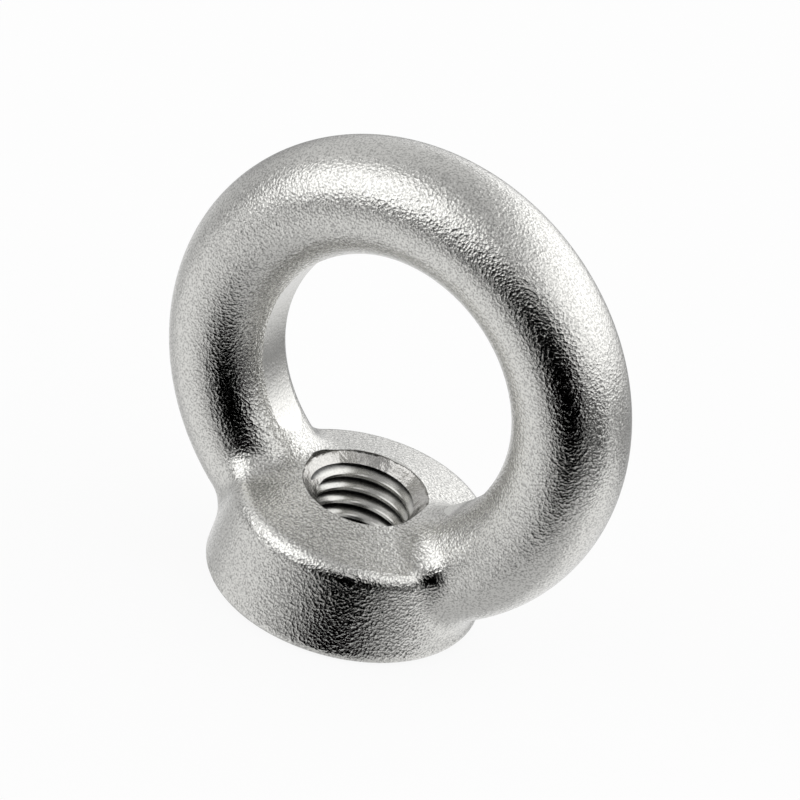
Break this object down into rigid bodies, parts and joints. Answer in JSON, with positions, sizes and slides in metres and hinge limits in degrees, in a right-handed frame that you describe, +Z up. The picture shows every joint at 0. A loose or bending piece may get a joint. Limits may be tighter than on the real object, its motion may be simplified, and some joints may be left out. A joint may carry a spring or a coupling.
{
  "type": "lifting eye nut",
  "caption": "Forged stainless lifting eye nut: a round-section ring standing on a round foot with a tapped through bore, screwed onto a stud to give a lifting or tie-down point.",
  "frame": {"origin": "centre of the foot's bottom face, on the axis of the tapped bore", "axes": "+Z up along the bore towards the top of the ring, +X across the ring in its own plane, +Y along the axis of the eye"},
  "size_m": [0.054, 0.0302, 0.053],
  "materials": {
    "blasted_stainless": "blasted and pickled stainless with a fine orange-peel grain, satin to bright"
  },
  "bodies": {
    "root": {"eye_nut": "blasted_stainless"}
  },
  "joints": []
}
